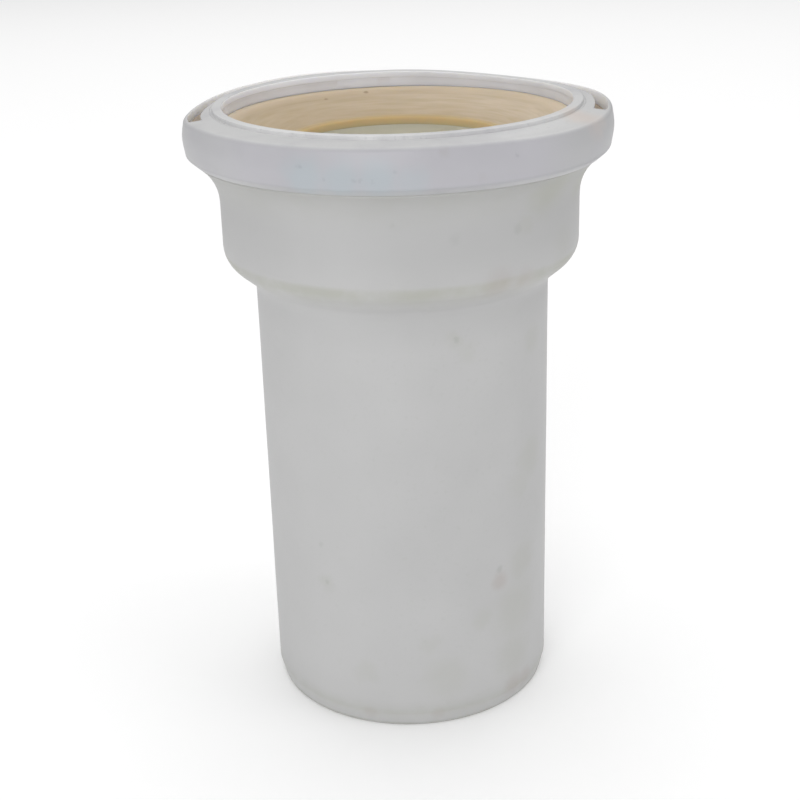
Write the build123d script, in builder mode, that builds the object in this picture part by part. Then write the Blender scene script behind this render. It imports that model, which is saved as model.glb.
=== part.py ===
from build123d import *
import math
import os

# Toilet pan connector, standing on its spigot end. Millimetres, +Z up, origin at the centre of the foot.
# Heights add up from the foot, and radii add up from the spigot.

# Connector body: spigot and shoulder
spigot_od = 110.0
wall = 3.2
spigot_length = 166.5  # foot to the corner where the shoulder leaves the spigot
foot_bevel_height = 6.0
foot_bevel_depth = 1.5
shoulder_step = 11.3  # how far the socket stands out from the spigot
shoulder_rise = 9.5
shoulder_hollow = 8.0  # rounding where the spigot meets the shoulder
shoulder_round = 10.0  # rounding where the shoulder meets the socket

# Connector body: socket and mouth
socket_length = 20.6  # straight wall between the shoulder's corner and the flare
flare_step = 7.6  # how far the neck stands out from the socket
flare_radius = 20.0
neck_height = 3.5
flange_overhang = 1.4
flange_thickness = 3.2

# Rubber seal
seal_flange_thickness = 5.9  # between the mouth and the cap
bead_width = 5.4
bead_drop = 4.0  # below the mouth, inside the neck
bead_round = 1.2  # where the cone leaves the flange
throat_d = 80.0
lip_drop = 7.3  # from the top of the seal down to the throat
lip_root = 3.4
lip_edge = 3.1  # height of the throat
lip_fillet = 2.0

# Retaining cap
plate_thickness = 4.1
crown_rise = 0.8  # slope of the top, from the rim up to the groove
inner_lip_overhang = 1.7  # over the bead of the seal
inner_lip_width = 3.6
inner_lip_rise = 1.2
inner_lip_round = 1.0
groove_width = 0.8
groove_depth = 0.3
skirt_wall = 2.7  # at the belt, where the cap is widest
skirt_taper = 1.0  # from the belt in to the foot of the skirt
belt_drop = 6.6  # from the rim down to the belt
belt_round = 15.0
rim_lean = 1.2  # from the belt in to the rim
rim_round = 2.0
snap_height = 2.3
snap_land = 0.6  # flat foot of the snap edge
window_width = 4.6
window_arc = 210.0  # from the right side round the back to the left side
window_middle = 90.0  # the back, counted from +X
bridge_arc = 6.0  # solid between the two windows
window_round = 0.8

# Clearance between pieces that fit round each other
fit_gap = 0.3

# Radii
spigot_r = spigot_od / 2
socket_r = spigot_r + shoulder_step
neck_r = socket_r + flare_step
neck_bore_r = neck_r - wall
flange_r = neck_r + flange_overhang
bead_r = neck_bore_r - fit_gap
bead_bore_r = bead_r - bead_width
throat_r = throat_d / 2
skirt_bore_r = flange_r + fit_gap
belt_r = skirt_bore_r + skirt_wall
rim_r = belt_r - rim_lean
skirt_foot_r = belt_r - skirt_taper
snap_r = neck_r + fit_gap
inner_lip_r = bead_bore_r - inner_lip_overhang
groove_bore_r = inner_lip_r + inner_lip_width
groove_r = groove_bore_r + groove_width
window_bore_r = skirt_bore_r - window_width

# Heights
shoulder_top = spigot_length + shoulder_rise
flare_foot = shoulder_top + socket_length
flare_top = flare_foot + math.sqrt(flare_radius**2 - (flare_radius - flare_step) ** 2)
flange_foot = flare_top + neck_height
mouth = flange_foot + flange_thickness
plate_foot = mouth + seal_flange_thickness
rim_top = plate_foot + plate_thickness
belt = rim_top - belt_drop
crown = rim_top + crown_rise
cap_top = crown + inner_lip_rise
snap_top = flange_foot - fit_gap
snap_foot = snap_top - snap_height

# The bore follows the outside at one wall thickness, so its shoulder corners lie a little higher
shoulder_turn = math.atan2(shoulder_step, shoulder_rise)
bore_shift = wall * math.tan(shoulder_turn / 2)
flare_turn = math.degrees(math.acos(1 - flare_step / flare_radius))
bore_flare_turn = math.degrees(math.acos(1 - flare_step / (flare_radius + wall)))

os.makedirs("parts", exist_ok=True)

# Body: one moulded wall, turned about Z
with BuildPart() as connector_body:
    with BuildSketch(Plane.XZ):
        with BuildLine():
            outside = FilletPolyline(
                (spigot_r - foot_bevel_depth, 0),
                (spigot_r, foot_bevel_height),
                (spigot_r, spigot_length),
                (socket_r, shoulder_top),
                (socket_r, flare_foot),
                radius=[foot_bevel_depth, shoulder_hollow, shoulder_round],
            )
            flare = JernArc(outside @ 1, (0, 1), flare_radius, -flare_turn)
            bore = FilletPolyline(
                (spigot_r - wall, 0),
                (spigot_r - wall, spigot_length + bore_shift),
                (socket_r - wall, shoulder_top + bore_shift),
                (socket_r - wall, flare_foot),
                radius=[shoulder_hollow + wall, shoulder_round - wall],
            )
            bore_flare = JernArc(bore @ 1, (0, 1), flare_radius + wall, -bore_flare_turn)
            Polyline(
                flare @ 1,
                (neck_r, flange_foot),
                (flange_r, flange_foot),
                (flange_r, mouth),
                (neck_bore_r, mouth),
                bore_flare @ 1,
            )
            Line(bore @ 0, outside @ 0)
        make_face()
    revolve(axis=Axis.Z)

# Seal: thick flange on the body's mouth, bead inside the neck, and a cone down to the throat
with BuildPart() as rubber_seal:
    with BuildSketch(Plane.XZ) as seal_section:
        with BuildLine():
            Polyline(
                (flange_r - fit_gap, mouth),
                (flange_r - fit_gap, plate_foot),
                (bead_bore_r, plate_foot),
                (throat_r, plate_foot - lip_drop),
                (throat_r, plate_foot - lip_drop - lip_edge),
                (bead_bore_r, plate_foot - lip_root),
                (bead_bore_r, mouth - bead_drop),
                (bead_r, mouth - bead_drop),
                (bead_r, mouth),
                close=True,
            )
        make_face()
        bead_corner = seal_section.vertices().sort_by_distance((bead_bore_r, plate_foot))[0]
        fillet(bead_corner, radius=bead_round)
        lip_corner = seal_section.vertices().sort_by_distance((bead_bore_r, plate_foot - lip_root))[0]
        fillet(lip_corner, radius=lip_fillet)
    revolve(axis=Axis.Z)

# Cap: crowned plate with an inner lip, and a barrel-shaped skirt that snaps under the body's flange
with BuildPart() as retaining_cap:
    with BuildSketch(Plane.XZ) as cap_section:
        with BuildLine():
            Polyline(
                (inner_lip_r, plate_foot),
                (inner_lip_r, cap_top),
                (groove_bore_r, cap_top),
                (groove_bore_r, crown - groove_depth),
                (groove_r, crown - groove_depth),
                (groove_r, crown),
                (rim_r, rim_top),
                (belt_r, belt),
                (skirt_foot_r, snap_top),
                (snap_r + snap_land, snap_foot),
                (snap_r, snap_foot),
                (snap_r, snap_top),
                (skirt_bore_r, snap_top),
                (skirt_bore_r, plate_foot),
                close=True,
            )
        make_face()
        lip_corners = cap_section.vertices().group_by(Axis.Y)[-1]
        fillet(lip_corners, radius=inner_lip_round)
        belt_corner = cap_section.vertices().sort_by_distance((belt_r, belt))[0]
        fillet(belt_corner, radius=belt_round)
        rim_corner = cap_section.vertices().sort_by_distance((rim_r, rim_top))[0]
        fillet(rim_corner, radius=rim_round)
    revolve(axis=Axis.Z)

    # Two curved windows through the plate, round the back
    window_sweep = (window_arc - bridge_arc) / 2
    first_window = window_middle - window_arc / 2
    second_window = window_middle + bridge_arc / 2
    with BuildSketch(Plane.XY.offset(plate_foot)) as windows:
        for window_start in (first_window, second_window):
            with BuildLine():
                window_outer = CenterArc((0, 0), skirt_bore_r, window_start, window_sweep)
                window_inner = CenterArc((0, 0), window_bore_r, window_start, window_sweep)
                Line(window_outer @ 0, window_inner @ 0)
                Line(window_outer @ 1, window_inner @ 1)
            make_face()
        fillet(windows.vertices(), radius=window_round)
    extrude(amount=cap_top - plate_foot, mode=Mode.SUBTRACT)

connector_body.part.label = "connector_body"
rubber_seal.part.label = "rubber_seal"
retaining_cap.part.label = "retaining_cap"

export_step(connector_body.part, "parts/connector_body.step")
export_step(rubber_seal.part, "parts/rubber_seal.step")
export_step(retaining_cap.part, "parts/retaining_cap.step")

print(f"overall height {cap_top:.2f}, widest {2 * belt_r:.2f}, mouth {2 * inner_lip_r:.2f}")
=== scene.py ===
import math

import bmesh
import bpy
from mathutils import Matrix, Vector


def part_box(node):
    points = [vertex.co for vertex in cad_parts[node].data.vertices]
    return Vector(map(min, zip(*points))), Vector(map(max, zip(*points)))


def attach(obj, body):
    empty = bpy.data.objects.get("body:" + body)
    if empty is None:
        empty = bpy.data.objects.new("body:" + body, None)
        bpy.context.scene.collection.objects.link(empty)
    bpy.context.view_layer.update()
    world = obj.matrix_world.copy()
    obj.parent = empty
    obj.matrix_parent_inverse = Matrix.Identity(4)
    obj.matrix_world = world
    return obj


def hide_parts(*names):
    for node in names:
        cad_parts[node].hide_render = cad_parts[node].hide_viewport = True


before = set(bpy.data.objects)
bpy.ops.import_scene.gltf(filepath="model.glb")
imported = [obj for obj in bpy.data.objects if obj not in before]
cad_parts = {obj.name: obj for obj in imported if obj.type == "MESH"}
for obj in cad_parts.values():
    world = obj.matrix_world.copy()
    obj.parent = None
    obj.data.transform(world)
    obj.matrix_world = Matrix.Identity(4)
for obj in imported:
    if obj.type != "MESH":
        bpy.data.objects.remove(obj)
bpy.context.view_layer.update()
print("frame loaded:", ", ".join(sorted(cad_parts)))

mm = 0.001


def nodeBox(name):
    low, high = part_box(name)
    return low / mm, high / mm


# The frame's own sizes, in millimetres
bodyLow, bodyHigh = nodeBox("connector_body")
sealHigh = nodeBox("rubber_seal")[1]
capLow, capHigh = nodeBox("retaining_cap")


def roundedOutline(corners, longestRun, arcStep=9.0):
    # corners are (radius, height, rounding); long runs are divided so that the wall can be uneven
    rounded = []
    for i, (radius, height, rounding) in enumerate(corners):
        here = Vector((radius, height))
        if rounding == 0:
            rounded.append(here)
            continue
        back = (Vector(corners[i - 1][:2]) - here).normalized()
        ahead = (Vector(corners[(i + 1) % len(corners)][:2]) - here).normalized()
        half = back.angle(ahead) / 2
        centre = here + (back + ahead).normalized() * rounding / math.sin(half)
        start = here + back * rounding / math.tan(half) - centre
        end = here + ahead * rounding / math.tan(half) - centre
        sweep = math.atan2(start.x * end.y - start.y * end.x, start.dot(end))
        steps = max(2, math.ceil(abs(math.degrees(sweep)) / arcStep))
        for k in range(steps + 1):
            turn = Matrix.Rotation(sweep * k / steps, 2)
            rounded.append(centre + turn @ start)
    outline = []
    for i, here in enumerate(rounded):
        ahead = rounded[(i + 1) % len(rounded)]
        parts = max(1, math.ceil((ahead - here).length / longestRun))
        outline += [here.lerp(ahead, k / parts) for k in range(parts)]
    return outline


def pick(piece, kind, test):
    # select vertices, edges or faces in edit mode by their place
    bpy.ops.mesh.select_mode(type=kind)
    bpy.ops.mesh.select_all(action="DESELECT")
    shape = bmesh.from_edit_mesh(piece.data)
    shape.normal_update()
    group = {"VERT": shape.verts, "EDGE": shape.edges, "FACE": shape.faces}[kind]
    for item in group:
        if test(item):
            item.select_set(True)
    shape.select_flush_mode()
    bmesh.update_edit_mesh(piece.data)


def spinOutline(name, outline, steps, weld=0.005):
    # one vertex is drawn round the section by extruding, and the section is spun about Z
    bpy.ops.object.select_all(action="DESELECT")
    bpy.ops.mesh.primitive_plane_add(size=mm)
    piece = bpy.context.object
    piece.name = name
    piece.data.name = name
    bpy.ops.object.mode_set(mode="EDIT")
    bpy.ops.mesh.select_mode(type="VERT")
    bpy.ops.mesh.select_all(action="SELECT")
    bpy.ops.mesh.merge(type="CENTER")
    bpy.ops.transform.translate(value=(outline[0].x * mm, 0, outline[0].y * mm))
    for here, ahead in zip(outline, outline[1:]):
        step = (ahead - here) * mm
        bpy.ops.mesh.extrude_vertices_move(TRANSFORM_OT_translate={"value": (step.x, 0, step.y)})
    ends = (0, len(outline) - 1)
    pick(piece, "VERT", lambda vertex: vertex.index in ends)
    bpy.ops.mesh.edge_face_add()
    bpy.ops.mesh.select_all(action="SELECT")
    bpy.ops.mesh.spin(steps=steps, angle=2 * math.pi, center=(0, 0, 0), axis=(0, 0, 1))
    bpy.ops.mesh.select_all(action="SELECT")
    bpy.ops.mesh.remove_doubles(threshold=weld * mm)
    bpy.ops.mesh.normals_make_consistent(inside=False)
    bpy.ops.object.mode_set(mode="OBJECT")
    return piece


def makeUneven(piece, size, depth):
    # a moulding is never quite true; the surface only sinks, so the outside stays inside the CAD
    texture = bpy.data.textures.new(piece.name + "Unevenness", "CLOUDS")
    texture.noise_scale = size * mm
    displace = piece.modifiers.new("unevenness", "DISPLACE")
    displace.texture = texture
    displace.texture_coords = "LOCAL"
    displace.mid_level = 1.0
    displace.strength = depth * mm
    bpy.ops.object.modifier_apply(modifier=displace.name)


def finishPiece(piece, node, smoothAngle=40):
    bpy.ops.object.select_all(action="DESELECT")
    piece.select_set(True)
    bpy.context.view_layer.objects.active = piece
    bpy.ops.object.shade_smooth_by_angle(angle=math.radians(smoothAngle))
    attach(piece, "root")
    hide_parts(node)
    print(piece.name, "modelled,", len(piece.data.polygons), "faces")


# Body: spigot, shoulder, socket and flared mouth in one moulding
bodySizes = {
    "spigotRadius": 55.0,
    "wall": 3.2,
    "footBevelHeight": 6.0,
    "footBevelDepth": 1.5,
    "footBevelRound": 1.0,
    "footRound": 0.5,
    "hollowHeight": 166.5,
    "hollowRound": 8.0,
    "socketRadius": 66.3,
    "shoulderHeight": 176.0,
    "shoulderRound": 10.0,
    "shoulderBoreLift": 1.49,  # the bore's shoulder lies this much higher, for an even wall
    "flareHeight": 206.29,
    "flareRound": 19.5,
    "flareBoreHeight": 206.88,
    "neckRadius": 73.9,
    "neckFoot": 212.29,
    "neckBoreFoot": 213.79,
    "flangeThickness": 3.2,
    "edgeRound": 0.3,
    "longestRun": 7.0,
    "spinSteps": 240,
    "unevenSize": 38.0,
    "unevenDepth": 0.2,
}


def makeBody(s):
    mouth = bodyHigh.z
    flangeFoot = mouth - s["flangeThickness"]
    bore = s["spigotRadius"] - s["wall"]
    socketBore = s["socketRadius"] - s["wall"]
    neckBore = s["neckRadius"] - s["wall"]
    lift = s["shoulderBoreLift"]
    outline = roundedOutline([
        (bore, bodyLow.z, s["footRound"]),
        (s["spigotRadius"] - s["footBevelDepth"], bodyLow.z, s["footRound"]),
        (s["spigotRadius"], s["footBevelHeight"], s["footBevelRound"]),
        (s["spigotRadius"], s["hollowHeight"], s["hollowRound"]),
        (s["socketRadius"], s["shoulderHeight"], s["shoulderRound"]),
        (s["socketRadius"], s["flareHeight"], s["flareRound"]),
        (s["neckRadius"], s["neckFoot"], s["edgeRound"]),
        (s["neckRadius"], flangeFoot, s["edgeRound"]),
        (bodyHigh.x, flangeFoot, s["edgeRound"]),
        (bodyHigh.x, mouth, s["edgeRound"]),
        (neckBore, mouth, s["edgeRound"]),
        (neckBore, s["neckBoreFoot"], s["edgeRound"]),
        (socketBore, s["flareBoreHeight"], s["flareRound"] + s["wall"]),
        (socketBore, s["shoulderHeight"] + lift, s["shoulderRound"] - s["wall"]),
        (bore, s["hollowHeight"] + lift, s["hollowRound"] + s["wall"]),
    ], s["longestRun"])
    piece = spinOutline("upvcBody", outline, s["spinSteps"])
    makeUneven(piece, s["unevenSize"], s["unevenDepth"])
    finishPiece(piece, "connector_body")
    return piece


body = makeBody(bodySizes)


# Seal: thick flange on the mouth, bead in the neck, and a thin cone that leads to the throat
sealSizes = {
    "beadRadius": 70.4,
    "beadWidth": 5.4,
    "coneRadius": 63.5,  # where the cone leaves the flat top, under the cap's lip
    "coneRound": 1.2,
    "beadDrop": 4.0,
    "throatRadius": 40.0,
    "throatDrop": 7.5,
    "lipEdge": 3.7,
    "lipRoot": 3.4,
    "lipFillet": 2.0,
    "lipRound": 1.6,
    "lipUnderRound": 0.2,
    "edgeRound": 0.4,
    "longestRun": 3.0,
    "spinSteps": 240,
    "unevenSize": 24.0,
    "unevenDepth": 0.15,
}


def makeSeal(s):
    mouth = bodyHigh.z
    top = sealHigh.z
    beadBore = s["beadRadius"] - s["beadWidth"]
    outline = roundedOutline([
        (sealHigh.x, mouth, s["edgeRound"]),
        (sealHigh.x, top, s["edgeRound"]),
        (s["coneRadius"], top, s["coneRound"]),
        (s["throatRadius"], top - s["throatDrop"], s["lipRound"]),
        (s["throatRadius"], top - s["throatDrop"] - s["lipEdge"], s["lipUnderRound"]),
        (beadBore, top - s["lipRoot"], s["lipFillet"]),
        (beadBore, mouth - s["beadDrop"], s["edgeRound"]),
        (s["beadRadius"], mouth - s["beadDrop"], s["edgeRound"]),
        (s["beadRadius"], mouth, s["edgeRound"]),
    ], s["longestRun"])
    piece = spinOutline("gumSeal", outline, s["spinSteps"])
    makeUneven(piece, s["unevenSize"], s["unevenDepth"])
    finishPiece(piece, "rubber_seal")
    return piece


seal = makeSeal(sealSizes)


# Cap: crowned plate with an inner lip, two windows round the back and a barrel-shaped skirt
capSizes = {
    "plateThickness": 4.1,
    "crownRise": 0.8,
    "lipRadius": 63.3,
    "lipWidth": 3.6,
    "lipRound": 0.4,
    "lipStep": 0.1,  # the wall below the lip's bead stands back
    "lipBead": 2.6,
    "lipBite": 0.15,  # how far the lip's foot presses into the rubber
    "grooveWidth": 0.8,
    "grooveDepth": 0.15,
    "rimRadius": 77.1,
    "rimRound": 1.9,
    "beltRadius": 78.3,
    "beltDrop": 6.6,
    "beltRound": 15.0,
    "skirtBore": 75.6,
    "skirtFoot": 77.3,
    "skirtRound": 1.0,
    "snapHeight": 2.3,
    "snapRadius": 74.2,
    "snapLand": 0.6,
    "edgeRound": 0.25,
    "windowWidth": 4.6,
    "windowsHalf": 105.0,  # degrees to each side of the back
    "bridgeHalf": 3.0,
    "windowRound": 0.8,
    "windowRoundSteps": 4,
    # each sag or lift: degrees from the back, half width, depth, and its share at the lip
    "sags": [(42.0, 45.0, 1.0, 1.0), (125.0, 45.0, 1.1, 0.0), (-88.0, 36.0, 1.6, 0.0)],
    "lifts": [(-28.0, 38.0, 1.1, 0.0)],
    "bendFoot": 0.35,  # share of a sag or lift at the foot of the skirt
    "longestRun": 4.0,
    "spinSteps": 240,
    "unevenSize": 30.0,
    "unevenDepth": 0.2,
}


def makeCap(s):
    plateFoot = sealHigh.z
    rimTop = plateFoot + s["plateThickness"]
    crown = rimTop + s["crownRise"]
    windowBore = s["skirtBore"] - s["windowWidth"]
    grooveBore = s["lipRadius"] + s["lipWidth"]
    groove = grooveBore + s["grooveWidth"]
    snapTop = capLow.z + s["snapHeight"]

    def slopeAt(radius):
        return crown - s["crownRise"] * (radius - groove) / (s["rimRadius"] - groove)

    outline = roundedOutline([
        (s["lipRadius"] + s["lipStep"], plateFoot - s["lipBite"], 0),
        (s["lipRadius"] + s["lipStep"], capHigh.z - s["lipBead"], 0),
        (s["lipRadius"], capHigh.z - s["lipBead"] + s["lipStep"], s["edgeRound"]),
        (s["lipRadius"], capHigh.z, s["lipRound"]),
        (grooveBore, capHigh.z, s["lipRound"]),
        (grooveBore, crown - s["grooveDepth"], 0),
        (groove, crown - s["grooveDepth"], 0),
        (groove, crown, s["edgeRound"]),
        (windowBore, slopeAt(windowBore), 0),
        (s["skirtBore"], slopeAt(s["skirtBore"]), 0),
        (s["rimRadius"], rimTop, s["rimRound"]),
        (s["beltRadius"], rimTop - s["beltDrop"], s["beltRound"]),
        (s["skirtFoot"], snapTop, s["skirtRound"]),
        (s["snapRadius"] + s["snapLand"], capLow.z, s["edgeRound"]),
        (s["snapRadius"], capLow.z, s["edgeRound"]),
        (s["snapRadius"], snapTop, 0),
        (s["skirtBore"], snapTop, 0),
        (s["skirtBore"], plateFoot, 0),
        (windowBore, plateFoot, 0),
        (grooveBore, plateFoot, 0),
    ], s["longestRun"])
    piece = spinOutline("snapCap", outline, s["spinSteps"])

    def polar(point):
        # radius, angle from the back towards the right, and height
        fromBack = math.degrees(math.atan2(point.x, point.y))
        return math.hypot(point.x, point.y) / mm, fromBack, point.z / mm

    # each window: its faces are deleted above and below, and the two openings are bridged
    slack = 0.1
    flatRise = 0.7  # least rise of the normal of a face that lies flat
    windows = ((-s["windowsHalf"], -s["bridgeHalf"]), (s["bridgeHalf"], s["windowsHalf"]))
    bpy.ops.object.mode_set(mode="EDIT")
    for start, end in windows:
        def windowFace(face):
            radius, angle, height = polar(face.calc_center_median())
            inRing = windowBore < radius < s["skirtBore"] and start < angle < end
            return inRing and height > plateFoot - slack and abs(face.normal.z) > flatRise

        pick(piece, "FACE", windowFace)
        bpy.ops.mesh.delete(type="FACE")
        pick(piece, "EDGE", lambda edge: edge.is_boundary)
        bpy.ops.mesh.bridge_edge_loops()

        def windowCorner(edge):
            top, foot = edge.verts
            run = top.co - foot.co
            radius, angle = polar(top.co)[:2]
            upright = run.xy.length < slack * mm
            through = run.length > s["plateThickness"] / 2 * mm
            atEnd = min(abs(angle - start), abs(angle - end)) < slack
            atSide = min(abs(radius - windowBore), abs(radius - s["skirtBore"])) < slack
            return upright and through and atEnd and atSide

        pick(piece, "EDGE", windowCorner)
        bpy.ops.mesh.bevel(
            offset=s["windowRound"] * mm, segments=s["windowRoundSteps"], affect="EDGES"
        )
    bpy.ops.mesh.select_all(action="SELECT")
    bpy.ops.mesh.normals_make_consistent(inside=False)
    bpy.ops.object.mode_set(mode="OBJECT")

    # the rim has sunk a little at both sides and risen at one place
    def bendRim(name, bends, way):
        group = piece.vertex_groups.new(name=name)
        deepest = max(depth for middle, half, depth, atLip in bends)
        for vertex in piece.data.vertices:
            radius, angle, height = polar(vertex.co)
            if radius > s["skirtBore"] + slack or height < plateFoot - slack:
                share = (height - capLow.z) / (rimTop - capLow.z)
                share = s["bendFoot"] + (1 - s["bendFoot"]) * min(1, share)
            else:
                share = min(1, max(0, (height - plateFoot) / s["plateThickness"]))
            outer = min(1, max(0, (radius - groove) / (windowBore - groove)))
            for middle, half, depth, atLip in bends:
                off = abs((angle - middle + 180) % 360 - 180)
                if off < half:
                    fall = math.cos(math.pi / 2 * off / half) ** 2
                    reached = outer + (1 - outer) * atLip
                    group.add([vertex.index], share * reached * fall * depth / deepest, "ADD")
        displace = piece.modifiers.new(name, "DISPLACE")
        displace.direction = "Z"
        displace.vertex_group = name
        displace.mid_level = 0.0
        displace.strength = way * deepest * mm
        bpy.ops.object.modifier_apply(modifier=displace.name)
        bpy.ops.object.vertex_group_remove(all=True)

    bendRim("sunk", s["sags"], -1)
    bendRim("risen", s["lifts"], 1)
    makeUneven(piece, s["unevenSize"], s["unevenDepth"])
    finishPiece(piece, "retaining_cap")
    return piece


cap = makeCap(capSizes)


# Materials
def hexColour(text):
    # sRGB hex to the linear colour that a shader takes
    channels = [int(text[i:i + 2], 16) / 255 for i in (0, 2, 4)]
    linear = [c / 12.92 if c <= 0.04045 else ((c + 0.055) / 1.055) ** 2.4 for c in channels]
    return (*linear, 1.0)


def addNode(tree, kind, values=None, links=None, **settings):
    node = tree.nodes.new(kind)
    for name, value in settings.items():
        setattr(node, name, value)
    for name, value in (values or {}).items():
        node.inputs[name].default_value = value
    for name, socket in (links or {}).items():
        tree.links.new(socket, node.inputs[name])
    return node


def startMaterial(name, values):
    material = bpy.data.materials.new(name)
    material.use_nodes = True
    tree = material.node_tree
    tree.nodes.clear()
    shader = addNode(tree, "ShaderNodeBsdfPrincipled", values)
    addNode(tree, "ShaderNodeOutputMaterial", links={"Surface": shader.outputs["BSDF"]})
    coords = addNode(tree, "ShaderNodeTexCoord").outputs["Object"]
    return material, tree, shader, coords


def blotches(tree, coords, size, low, high, detail=3.0):
    # noise whose blotches are about size millimetres, stretched to run from 0 to 1
    noise = addNode(
        tree, "ShaderNodeTexNoise", {"Scale": 1 / (size * mm), "Detail": detail}, {"Vector": coords}
    )
    spread = addNode(
        tree, "ShaderNodeMapRange", {"From Min": low, "From Max": high}, {"Value": noise.outputs["Fac"]}
    )
    return spread.outputs["Result"]


def tint(tree, below, colour, *masks, amount=1.0):
    # lays a colour over what is below, where all the masks are
    # a colour Mix node takes its share at socket 0 and its colours at 6 and 7, and gives output 2
    strength = addNode(tree, "ShaderNodeMath", {1: amount}, {0: masks[0]}, operation="MULTIPLY").outputs[0]
    for mask in masks[1:]:
        strength = addNode(
            tree, "ShaderNodeMath", links={0: strength, 1: mask}, operation="MULTIPLY"
        ).outputs[0]
    mix = addNode(
        tree, "ShaderNodeMix", {7: hexColour(colour)}, {0: strength, 6: below}, data_type="RGBA"
    )
    return mix.outputs[2]


def follow(tree, value, stops):
    # a value that follows (place, amount) stops, with places in millimetres
    low, high = stops[0][0], stops[-1][0]
    share = addNode(
        tree, "ShaderNodeMapRange", {"From Min": low * mm, "From Max": high * mm}, {"Value": value}
    ).outputs["Result"]
    ramp = addNode(tree, "ShaderNodeValToRGB", links={"Fac": share})
    elements = ramp.color_ramp.elements
    elements[0].color = (stops[0][1],) * 3 + (1,)
    elements[1].color = (stops[-1][1],) * 3 + (1,)
    for place, amount in stops[1:-1]:
        elements.new((place - low) / (high - low)).color = (amount, amount, amount, 1)
    return ramp.outputs["Color"]


def reach(tree, coords):
    # distance from the axis, and the vector from the axis that it is measured along
    parts = addNode(tree, "ShaderNodeSeparateXYZ", links={0: coords}).outputs
    flat = addNode(tree, "ShaderNodeCombineXYZ", links={"X": parts["X"], "Y": parts["Y"]}).outputs[0]
    distance = addNode(tree, "ShaderNodeVectorMath", links={0: flat}, operation="LENGTH")
    return distance.outputs["Value"], flat


def wobble(tree, coords, size, most, detail=3.0):
    # coordinates pushed about by noise, so that a round mark gets a ragged outline
    noise = addNode(
        tree, "ShaderNodeTexNoise", {"Scale": 1 / (size * mm), "Detail": detail}, {"Vector": coords}
    )
    push = addNode(
        tree, "ShaderNodeVectorMath", {1: (2 * most * mm,) * 3, 2: (-most * mm,) * 3},
        {0: noise.outputs["Color"]}, operation="MULTIPLY_ADD",
    )
    return addNode(
        tree, "ShaderNodeVectorMath", links={0: coords, 1: push.outputs["Vector"]}, operation="ADD"
    ).outputs["Vector"]


def marks(tree, coords, spots, radiusAt, core=0.2):
    # soft marks at (degrees from the right, height, size, amount) on a round piece
    total = None
    for angle, height, size, amount in spots:
        turn = math.radians(angle)
        radius = radiusAt(height)
        centre = (radius * math.cos(turn) * mm, radius * math.sin(turn) * mm, height * mm)
        away = addNode(tree, "ShaderNodeVectorMath", {1: centre}, {0: coords}, operation="DISTANCE")
        fade = addNode(
            tree, "ShaderNodeMapRange",
            {"From Min": size * mm, "From Max": core * size * mm, "To Max": amount},
            {"Value": away.outputs["Value"]}, interpolation_type="SMOOTHSTEP",
        ).outputs["Result"]
        total = fade if total is None else addNode(
            tree, "ShaderNodeMath", links={0: total, 1: fade}, operation="MAXIMUM"
        ).outputs[0]
    return total


def grain(tree, coords, shader, size, depth, detail=2.0, strength=0.5):
    # the surface's fine grain
    noise = addNode(
        tree, "ShaderNodeTexNoise", {"Scale": 1 / (size * mm), "Detail": detail}, {"Vector": coords}
    )
    bump = addNode(
        tree, "ShaderNodeBump", {"Strength": strength, "Distance": depth * mm},
        {"Height": noise.outputs["Fac"]},
    )
    tree.links.new(bump.outputs["Normal"], shader.inputs["Normal"])


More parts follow.
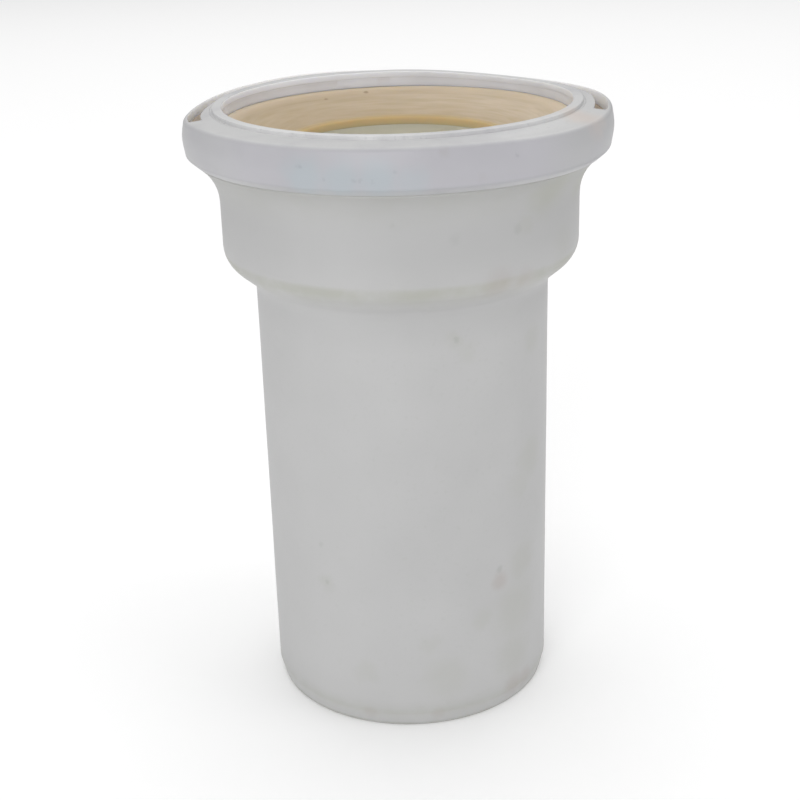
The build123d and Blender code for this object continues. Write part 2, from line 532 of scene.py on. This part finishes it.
# Moulded uPVC: a neutral grey white with hardly any gloss, dusty, with handling marks
bodyLook = {
    "roughness": 0.5,
    "ior": 1.53,
    "grain": {"size": 0.8, "depth": 0.02},
    "white": "b0b0b0",
    "shade": "acacac",
    "mottle": {"size": 30.0, "low": 0.3, "high": 0.7},
    "dust": "a0a09d",
    "dustAmount": 0.2,
    "dustSpecks": {"size": 1.6, "low": 0.6, "high": 0.8, "detail": 1.0},
    # painted shade on the socket and in the hollow under the shoulder
    "socket": "a7a7a7",
    "socketShadeSide": [(-66.0, 1.0), (-60.0, 0.55), (-53.0, 0.45), (-42.0, 0.9), (-30.0, 1.0)],
    "socketShadeStops": [(152.0, 0.0), (159.0, 0.45), (165.5, 0.9), (168.5, 0.5), (171.0, 0.0), (180.0, 0.4),
                    (190.0, 1.0), (214.0, 1.0)],
    # painted shadow of the cap's overhang, stronger towards the sides
    "underCap": "8c8c8a",
    "underCapStops": [(191.0, 0.0), (196.0, 0.08), (201.0, 0.18), (206.0, 0.26), (213.0, 0.45)],
    "underCapSide": [(-73.0, 1.0), (-62.0, 0.9), (-50.0, 0.7), (-20.0, 0.5), (0.0, 0.1), (30.0, 0.25),
                     (50.0, 0.8), (62.0, 1.0), (73.0, 1.2)],
    # painted light towards the foot and in a stripe left of the middle
    "paintedLight": "bababa",
    "paintedLightStops": [(0.0, 0.0), (1.5, 0.4), (5.0, 0.45), (7.0, 0.15), (12.0, 0.3), (40.0, 0.15), (75.0, 0.0)],
    "paintedLightSide": [(-50.0, 0.0), (-45.0, 0.1), (-35.0, 0.25), (-20.0, 0.25), (-9.0, 0.1), (0.0, 0.0)],
    # olive grime and painted shade on the foot's bevel, the shoulder's underside and under the cap
    "grimeAndShadeAmount": 0.8,
    "grimeAndShadePatches": {"size": 9.0, "low": 0.1, "high": 0.6},
    "grimeAndShadeStops": [(0.0, 0.6), (0.7, 0.45), (1.6, 0.05), (4.4, 0.15), (6.2, 0.35), (8.0, 0.15), (11.0, 0.03),
                   (20.0, 0.0), (167.5, 0.0), (171.0, 0.15), (174.0, 0.35), (176.5, 0.6), (178.2, 0.55),
                   (179.8, 0.0), (199.0, 0.0), (205.0, 0.1), (211.0, 0.2)],
    "markAmount": 0.35,
    "ragged": {"size": 6.0, "most": 3.0},
    "finer": {"size": 2.0, "most": 1.0},
    "olive": "969787",
    "oliveMarks": [(-70.5, 156.0, 5, 0.5), (-66.0, 151.4, 6, 0.3), (-31.5, 148.0, 8, 0.4),
                   (-33.4, 101.5, 12, 0.5), (-40.0, 93.0, 9, 0.3), (-38.7, 60.1, 12, 0.5),
                   (-42.7, 40.8, 18, 0.5), (-60.5, 42.1, 7, 0.4), (-43.6, 21.1, 14, 0.5),
                   (-82.8, 35.7, 6, 0.3), (-76.4, 21.0, 13, 0.4), (-124.8, 58.5, 5, 0.4),
                   (-108.3, 23.1, 7, 0.35), (-50.0, 196.0, 5, 0.4), (-30.0, 185.0, 10, 0.3),
                   (-42.0, 209.0, 15, 1.0), (-18.0, 209.0, 16, 1.0)],
    "brown": "8d6f62",
    "brownMarks": [(-52.0, 56.1, 5.5, 0.55), (-59.7, 176.9, 9, 0.35), (-50.0, 176.5, 7, 0.3),
                   (-70.5, 170.0, 5, 0.3), (-44.0, 7.0, 7, 0.45), (-36.0, 7.0, 6, 0.4),
                   (-80.0, 5.0, 4, 0.3), (-108.0, 5.0, 4, 0.3)],
    "grey": "74746f",
    "greyMarks": [(-52.2, 61.1, 2.2, 0.6), (-70.5, 156.0, 1.6, 0.5), (-92.6, 201.4, 2.0, 0.3),
                  (-74.4, 195.5, 3.0, 0.25), (-53.5, 195.6, 2.6, 0.4), (-124.8, 58.5, 1.4, 0.5),
                  (-127.0, 74.0, 1.8, 0.35)],
}


def makeBodyPlastic(s):
    material, tree, shader, coords = startMaterial(
        "mouldedUpvcWhite", {"Roughness": s["roughness"], "IOR": s["ior"]}
    )
    colour = addNode(
        tree, "ShaderNodeMix", {6: hexColour(s["shade"]), 7: hexColour(s["white"])},
        {0: blotches(tree, coords, **s["mottle"])}, data_type="RGBA",
    ).outputs[2]
    # specks of dust, about two millimetres apart
    specks = blotches(tree, coords, **s["dustSpecks"])
    colour = tint(tree, colour, s["dust"], specks, amount=s["dustAmount"])
    place = addNode(tree, "ShaderNodeSeparateXYZ", links={0: coords}).outputs
    across, height = place["X"], place["Z"]
    # painted shade: the socket is darker than the spigot, most in the hollow under the shoulder, less on a
    # patch at the left
    socket = follow(tree, height, s["socketShadeStops"])
    colour = tint(tree, colour, s["socket"], socket, follow(tree, across, s["socketShadeSide"]))
    # painted shadow of the cap on the flare below it, stronger towards the sides
    underCap = follow(tree, height, s["underCapStops"])
    colour = tint(tree, colour, s["underCap"], underCap, follow(tree, across, s["underCapSide"]))
    # painted light: lighter towards the foot and in an upright stripe left of the middle
    colour = tint(tree, colour, s["paintedLight"], follow(tree, height, s["paintedLightStops"]))
    colour = tint(tree, colour, s["paintedLight"], follow(tree, across, s["paintedLightSide"]))
    # olive grime together with painted shade, in patches: on the bevel of the foot, on the underside of the
    # shoulder and under the cap
    grimeAndShade = follow(tree, height, s["grimeAndShadeStops"])
    patches = blotches(tree, coords, **s["grimeAndShadePatches"])
    colour = tint(tree, colour, s["olive"], grimeAndShade, patches, amount=s["grimeAndShadeAmount"])

    def wallRadius(markHeight):
        onSpigot = markHeight < bodySizes["hollowHeight"]
        return bodySizes["spigotRadius"] if onSpigot else bodySizes["socketRadius"]

    ragged = wobble(tree, coords, **s["ragged"])
    finer = wobble(tree, coords, **s["finer"])
    for tone, outline in (("olive", ragged), ("brown", finer), ("grey", finer)):
        spots = marks(tree, outline, s[tone + "Marks"], wallRadius)
        colour = tint(tree, colour, s[tone], spots, amount=s["markAmount"])
    tree.links.new(colour, shader.inputs["Base Color"])
    grain(tree, coords, shader, **s["grain"])
    return material


# The same uPVC on faces that look inwards, painted much lighter than the outside where they lie in shade:
# painted light; a thin wall also lets some light through
insidePaintedLightLook = {
    "roughness": 0.4,
    "ior": 1.53,
    "grain": {"size": 0.8, "depth": 0.02},
    "mottle": {"size": 20.0, "low": 0.3, "high": 0.6},
    "glow": (1.0, 1.0, 0.9),
}
# each tint, also painted light: what it follows, its colour and its stops
# the bore: painted light, much lighter than the outside and warm, as if lit by the rubber
boreLook = {
    "white": "e8dfcc",
    "shade": "dad1bd",
    "glowDepth": 16.0,
    "tints": [("height", "dedcd6", [(140.0, 1.0), (168.0, 0.0)])],
}
# the lip's inner wall and the window walls: painted light, lighter and cooler, more at the left and in the
# windows
lipLook = {
    "white": "d6d7db",
    "shade": "cccdd1",
    "glowDepth": 3.0,
    "tints": [("across", "edeef6", [(-64.0, 0.5), (-25.0, 0.3), (15.0, 0.1), (64.0, 0.15)]),
              ("radius", "eeeced", [(69.0, 0.0), (71.0, 1.0)])],
}


def makeInsidePlasticWithPaintedLight(name, s):
    material, tree, shader, coords = startMaterial(
        name,
        {"Roughness": s["roughness"], "IOR": s["ior"], "Subsurface Weight": 1.0,
         "Subsurface Radius": s["glow"], "Subsurface Scale": s["glowDepth"] * mm},
    )
    colour = addNode(
        tree, "ShaderNodeMix", {6: hexColour(s["shade"]), 7: hexColour(s["white"])},
        {0: blotches(tree, coords, **s["mottle"])}, data_type="RGBA",
    ).outputs[2]
    place = addNode(tree, "ShaderNodeSeparateXYZ", links={0: coords}).outputs
    places = {"across": place["X"], "height": place["Z"], "radius": reach(tree, coords)[0]}
    for followed, tone, stops in s["tints"]:
        colour = tint(tree, colour, tone, follow(tree, places[followed], stops))
    tree.links.new(colour, shader.inputs["Base Color"])
    grain(tree, coords, shader, **s["grain"])
    return material


# Moulded uPVC of another batch: the cap is a cooler, bluish white, smudged by handling
capLook = {
    "roughness": 0.45,
    "ior": 1.53,
    "grain": {"size": 0.8, "depth": 0.02},
    "lip": "c0c0c0",
    # painted highlight along the lip's crest at the front
    "lipFrontHighlight": "d2d2d2",
    "lipFrontHighlightStops": [(-66.0, 1.0), (-50.0, 0.9), (-35.0, 0.3), (-20.0, 0.0)],
    "top": "b9b9b9",
    "lipEdge": [(67.4, 0.0), (68.4, 1.0)],
    # painted light: the top paler at the right and the band paler at the left
    "paintedPale": "cacaca",
    "paintedPaleTop": [(10.0, 0.0), (35.0, 0.55), (60.0, 0.25), (78.0, 0.0)],
    "paintedPaleBand": [(-78.0, 0.3), (-45.0, 0.05), (-20.0, 0.0)],
    "band": "a7a6ab",
    "bandEdge": [(75.9, 0.0), (77.2, 1.0)],
    "neutral": "a6a7a6",
    "neutralStops": [(-78.0, 0.7), (-62.0, 0.4), (-50.0, 0.0), (45.0, 0.0), (58.0, 0.5), (78.0, 0.7)],
    "shade": "a3a2a7",
    "shadeAmount": 0.6,
    "shadePatches": {"size": 20.0, "low": 0.45, "high": 0.75},
    # painted shade on the skirt's downward-facing foot
    "under": "8c8c90",
    "underAmount": 0.4,
    "underEdge": [(214.3, 1.0), (215.4, 0.7), (216.2, 0.0)],
    "dust": "a6a6a8",
    "dustAmount": 0.3,
    "dustSpecks": {"size": 1.4, "low": 0.6, "high": 0.8, "detail": 1.0},
    "ragged": {"size": 6.0, "most": 3.0},
    "finer": {"size": 2.0, "most": 1.2},
    "warm": "c9b6a8",
    "warmAmount": 0.5,
    "warmMarks": [(-28.0, 229.0, 12, 0.8)],
    "blue": "9fa9ae",
    "blueAmount": 0.8,
    "blueMarks": [(-113.0, 219.0, 11, 0.8), (-104.0, 219.0, 10, 0.8), (-95.0, 218.5, 10, 0.8),
                  (-87.0, 218.0, 8, 0.5)],
    "dirt": "8a7d72",
    "dirtAmount": 0.3,
    "dirtMarks": [(-79.3, 227.3, 3.0, 0.4), (-70.0, 218.0, 2.5, 0.2)],
    "grey": "7a7a84",
    "greyAmount": 0.4,
    "greyMarks": [(-113.8, 223.0, 1.2, 0.6), (-114.9, 222.9, 0.9, 0.5), (-100.6, 218.8, 1.3, 0.5),
                  (-99.2, 219.1, 1.2, 0.6), (-96.0, 218.2, 1.2, 0.4), (-90.9, 221.7, 1.0, 0.4),
                  (-61.0, 223.9, 1.2, 0.5), (-86.2, 227.8, 1.0, 0.5), (-108.0, 219.0, 0.9, 0.4)],
}


def makeCapPlastic(s):
    material, tree, shader, coords = startMaterial(
        "mouldedUpvcBluish", {"Roughness": s["roughness"], "IOR": s["ior"]}
    )
    radius = reach(tree, coords)[0]
    place = addNode(tree, "ShaderNodeSeparateXYZ", links={0: coords}).outputs
    across, along, height = place["X"], place["Y"], place["Z"]
    # painted highlight: the lip is lighter than the top, most at the front; the band round the outside is
    # the greyest
    colour = addNode(
        tree, "ShaderNodeMix", {6: hexColour(s["lip"]), 7: hexColour(s["lipFrontHighlight"])},
        {0: follow(tree, along, s["lipFrontHighlightStops"])}, data_type="RGBA",
    ).outputs[2]
    colour = tint(tree, colour, s["top"], follow(tree, radius, s["lipEdge"]))
    # painted light: the top paler towards the right
    colour = tint(tree, colour, s["paintedPale"], follow(tree, across, s["paintedPaleTop"]))
    onBand = follow(tree, radius, s["bandEdge"])
    colour = tint(tree, colour, s["band"], onBand)
    # painted light: paler at the left, over the band
    colour = tint(tree, colour, s["paintedPale"], follow(tree, across, s["paintedPaleBand"]))
    colour = tint(tree, colour, s["neutral"], follow(tree, across, s["neutralStops"]), onBand)
    patches = blotches(tree, coords, **s["shadePatches"])
    colour = tint(tree, colour, s["shade"], patches, amount=s["shadeAmount"])
    # painted shade on the skirt's downward-facing foot
    colour = tint(tree, colour, s["under"], follow(tree, height, s["underEdge"]), amount=s["underAmount"])
    specks = blotches(tree, coords, **s["dustSpecks"])
    colour = tint(tree, colour, s["dust"], specks, amount=s["dustAmount"])
    # marks lie on the plate and on the band
    plateRadius = capSizes["skirtBore"] - capSizes["windowWidth"]
    ragged = wobble(tree, coords, **s["ragged"])
    finer = wobble(tree, coords, **s["finer"])
    for tone, outline, markRadius in (
        ("warm", ragged, plateRadius), ("blue", ragged, capHigh.x),
        ("dirt", finer, capHigh.x), ("grey", finer, capHigh.x),
    ):
        spots = marks(tree, outline, s[tone + "Marks"], lambda markHeight: markRadius)
        colour = tint(tree, colour, s[tone], spots, amount=s[tone + "Amount"])
    tree.links.new(colour, shader.inputs["Base Color"])
    grain(tree, coords, shader, **s["grain"])
    return material


# Gum rubber: warm tan and dull, streaked round the ring by the mould, with painted shade that darkens it
# towards the throat
sealLook = {
    "roughness": 0.62,
    "ior": 1.52,
    "grain": {"size": 1.2, "depth": 0.05},
    "glow": (1.0, 0.8, 0.5),
    "glowDepth": 3.0,
    "tan": "bfae97",
    "streak": "b1a084",
    "streakWidth": 1.6,
    "streakTurns": 3.5,  # how fast a streak changes along the ring
    "streakDetail": 5.0,
    "streakLow": 0.35,
    "streakHigh": 0.7,
    # painted shade: darker at the left, at the front inside the cap's lip and low in the cone
    "paintedTanShade": "9a845f",
    "paintedShadeSide": [(-55.0, 0.5), (5.0, 0.08), (40.0, 0.0)],
    "paintedShadeFront": [(-42.0, 0.7), (-31.0, 0.45), (-23.0, 0.1), (-15.0, 0.0)],
    "paintedShadeLow": [(40.4, 0.45), (43.0, 0.3), (47.0, 0.2), (53.0, 0.0)],
    # painted light: paler close to the cap's lip
    "paintedPale": "d3c1a7",
    "paintedPaleEdge": [(57.5, 0.0), (60.0, 0.35), (62.0, 0.9), (63.5, 1.0)],
    # dust and painted shade on the rubber under the cap's plate and windows
    "pocketDustAndShade": "7f7061",
    "pocketDustAndShadeAmount": 0.85,
    "pocketDustAndShadeEdge": [(68.0, 0.0), (70.5, 1.0)],
    # painted light: the throat's edge much lighter than the tan, where it lies in shade
    "throat": "e7cf9b",
    "throatAmount": 0.95,
    "throatEdge": [(39.6, 1.0), (40.05, 0.9), (40.4, 0.3), (41.2, 0.0)],
    "finer": {"size": 2.0, "most": 0.8},
    "speck": "6f5638",
    # each speck: degrees from the right, depth below the seal's top, size, amount
    "specks": [(119.5, 2.37, 1.3, 0.5), (102.0, 1.62, 1.5, 0.6)],
}


def makeGumRubber(s):
    material, tree, shader, coords = startMaterial(
        "gumRubberTan",
        {"Roughness": s["roughness"], "IOR": s["ior"], "Subsurface Weight": 1.0,
         "Subsurface Radius": s["glow"], "Subsurface Scale": s["glowDepth"] * mm},
    )
    radius, flat = reach(tree, coords)
    # streaks follow the ring: the noise sees the direction from the axis and a stretched radius
    heading = addNode(tree, "ShaderNodeVectorMath", links={0: flat}, operation="NORMALIZE")
    stretched = addNode(
        tree, "ShaderNodeMath", {1: 1 / (s["streakWidth"] * mm)}, {0: radius}, operation="MULTIPLY"
    )
    lifted = addNode(tree, "ShaderNodeCombineXYZ", links={"Z": stretched.outputs[0]})
    around = addNode(
        tree, "ShaderNodeVectorMath", {1: (s["streakTurns"],) * 3},
        {0: heading.outputs["Vector"], 2: lifted.outputs[0]}, operation="MULTIPLY_ADD",
    )
    noise = addNode(
        tree, "ShaderNodeTexNoise", {"Scale": 1.0, "Detail": s["streakDetail"]},
        {"Vector": around.outputs["Vector"]},
    )
    streaks = addNode(
        tree, "ShaderNodeMapRange", {"From Min": s["streakLow"], "From Max": s["streakHigh"]},
        {"Value": noise.outputs["Fac"]},
    )
    colour = addNode(
        tree, "ShaderNodeMix", {6: hexColour(s["tan"]), 7: hexColour(s["streak"])},
        {0: streaks.outputs["Result"]}, data_type="RGBA",
    ).outputs[2]
    # painted shade: darker at the left side, at the front just inside the cap's lip and low in the cone
    place = addNode(tree, "ShaderNodeSeparateXYZ", links={0: coords}).outputs
    colour = tint(tree, colour, s["paintedTanShade"], follow(tree, place["X"], s["paintedShadeSide"]))
    colour = tint(tree, colour, s["paintedTanShade"], follow(tree, place["Y"], s["paintedShadeFront"]))
    colour = tint(tree, colour, s["paintedTanShade"], follow(tree, radius, s["paintedShadeLow"]))
    # painted light: paler close to the cap's lip; dust with painted shade under the windows; painted light
    # on the throat's edge
    colour = tint(tree, colour, s["paintedPale"], follow(tree, radius, s["paintedPaleEdge"]))
    # dust with painted shade under the plate and the windows
    colour = tint(tree, colour, s["pocketDustAndShade"], follow(tree, radius, s["pocketDustAndShadeEdge"]), amount=s["pocketDustAndShadeAmount"])
    # painted light on the shaded throat's edge
    colour = tint(tree, colour, s["throat"], follow(tree, radius, s["throatEdge"]), amount=s["throatAmount"])
    # specks on the cone, whose slope runs from the bead's bore to the throat
    beadBore = sealSizes["beadRadius"] - sealSizes["beadWidth"]
    slope = sealSizes["throatDrop"] / (beadBore - sealSizes["throatRadius"])

    def coneRadius(markHeight):
        return beadBore - (sealHigh.z - markHeight) / slope

    specks = [(angle, sealHigh.z - depth, size, amount) for angle, depth, size, amount in s["specks"]]
    spots = marks(tree, wobble(tree, coords, **s["finer"]), specks, coneRadius)
    colour = tint(tree, colour, s["speck"], spots)
    tree.links.new(colour, shader.inputs["Base Color"])
    grain(tree, coords, shader, **s["grain"])
    return material


body.data.materials.append(makeBodyPlastic(bodyLook))
body.data.materials.append(makeInsidePlasticWithPaintedLight("mouldedUpvcBore", insidePaintedLightLook | boreLook))
cap.data.materials.append(makeCapPlastic(capLook))
cap.data.materials.append(makeInsidePlasticWithPaintedLight("mouldedUpvcLip", insidePaintedLightLook | lipLook))
seal.data.materials.append(makeGumRubber(sealLook))

# faces that look towards the axis take the plastic with painted light
inwardShare = 0.85
for piece in (body, cap):
    for face in piece.data.polygons:
        outward = Vector((face.center.x, face.center.y, 0)).normalized()
        if face.normal.dot(outward) < -inwardShare:
            face.material_index = 1
print("materials made")

# Floor, light and camera; the floor is matte white board with no gloss
stageLook = {"floorSize": 6.0, "floor": "ffffff", "roughness": 0.9}
bpy.ops.object.select_all(action="DESELECT")
bpy.ops.mesh.primitive_plane_add(size=stageLook["floorSize"])
floor = bpy.context.object
floor.name = "paleFloor"
boardValues = {"Roughness": stageLook["roughness"], "Base Color": hexColour(stageLook["floor"])}
floor.data.materials.append(startMaterial("matteBoard", boardValues)[0])

# a bright, even room with large softboxes in front, at both sides and overhead, in metres and watts
skyStrength = 0.55
aimPoint = Vector((0, 0, 0.15))
softboxes = {
    "frontSoftbox": {"power": 8.65, "size": 0.8, "place": (-0.4, -1.46, 0.62)},
    "leftSoftbox": {"power": 1.3, "size": 1.0, "place": (-1.45, -0.5, 0.6)},
    "rightSoftbox": {"power": 3.9, "size": 1.0, "place": (1.45, -0.5, 0.6)},
    "overheadBank": {"power": 50.0, "size": 4.0, "place": (0.0, 1.0, 2.6)},
}
world = bpy.data.worlds.new("brightRoom")
world.use_nodes = True
sky = world.node_tree.nodes["Background"].inputs
sky["Color"].default_value = (1, 1, 1, 1)
sky["Strength"].default_value = skyStrength
bpy.context.scene.world = world
for name, look in softboxes.items():
    bpy.ops.object.light_add(type="AREA", location=look["place"])
    softbox = bpy.context.object
    softbox.name = name
    softbox.data.size = look["size"]
    softbox.data.energy = look["power"]
    aim = aimPoint - Vector(look["place"])
    softbox.rotation_euler = aim.to_track_quat("-Z", "Y").to_euler()

cameraView = {
    "sensor": 36.0,
    "lens": 65.5,
    "nearest": 0.01,
    "away": 529.4,
    "height": 323.9,
    "pitch": 21.66,
    "turn": -0.23,
    "roll": -1.66,
}
camera = bpy.data.objects.new("camera", bpy.data.cameras.new("camera"))
bpy.context.scene.collection.objects.link(camera)
camera.data.sensor_width = cameraView["sensor"]
camera.data.lens = cameraView["lens"]
camera.data.clip_start = cameraView["nearest"]
camera.matrix_world = (
    Matrix.Translation((0, -cameraView["away"] * mm, cameraView["height"] * mm))
    @ Matrix.Rotation(math.radians(-cameraView["turn"]), 4, "Z")
    @ Matrix.Rotation(math.radians(90 - cameraView["pitch"]), 4, "X")
    @ Matrix.Rotation(math.radians(cameraView["roll"]), 4, "Z")
)
bpy.context.scene.camera = camera
bpy.context.scene.view_settings.view_transform = "Standard"
print("stage, light and camera set")
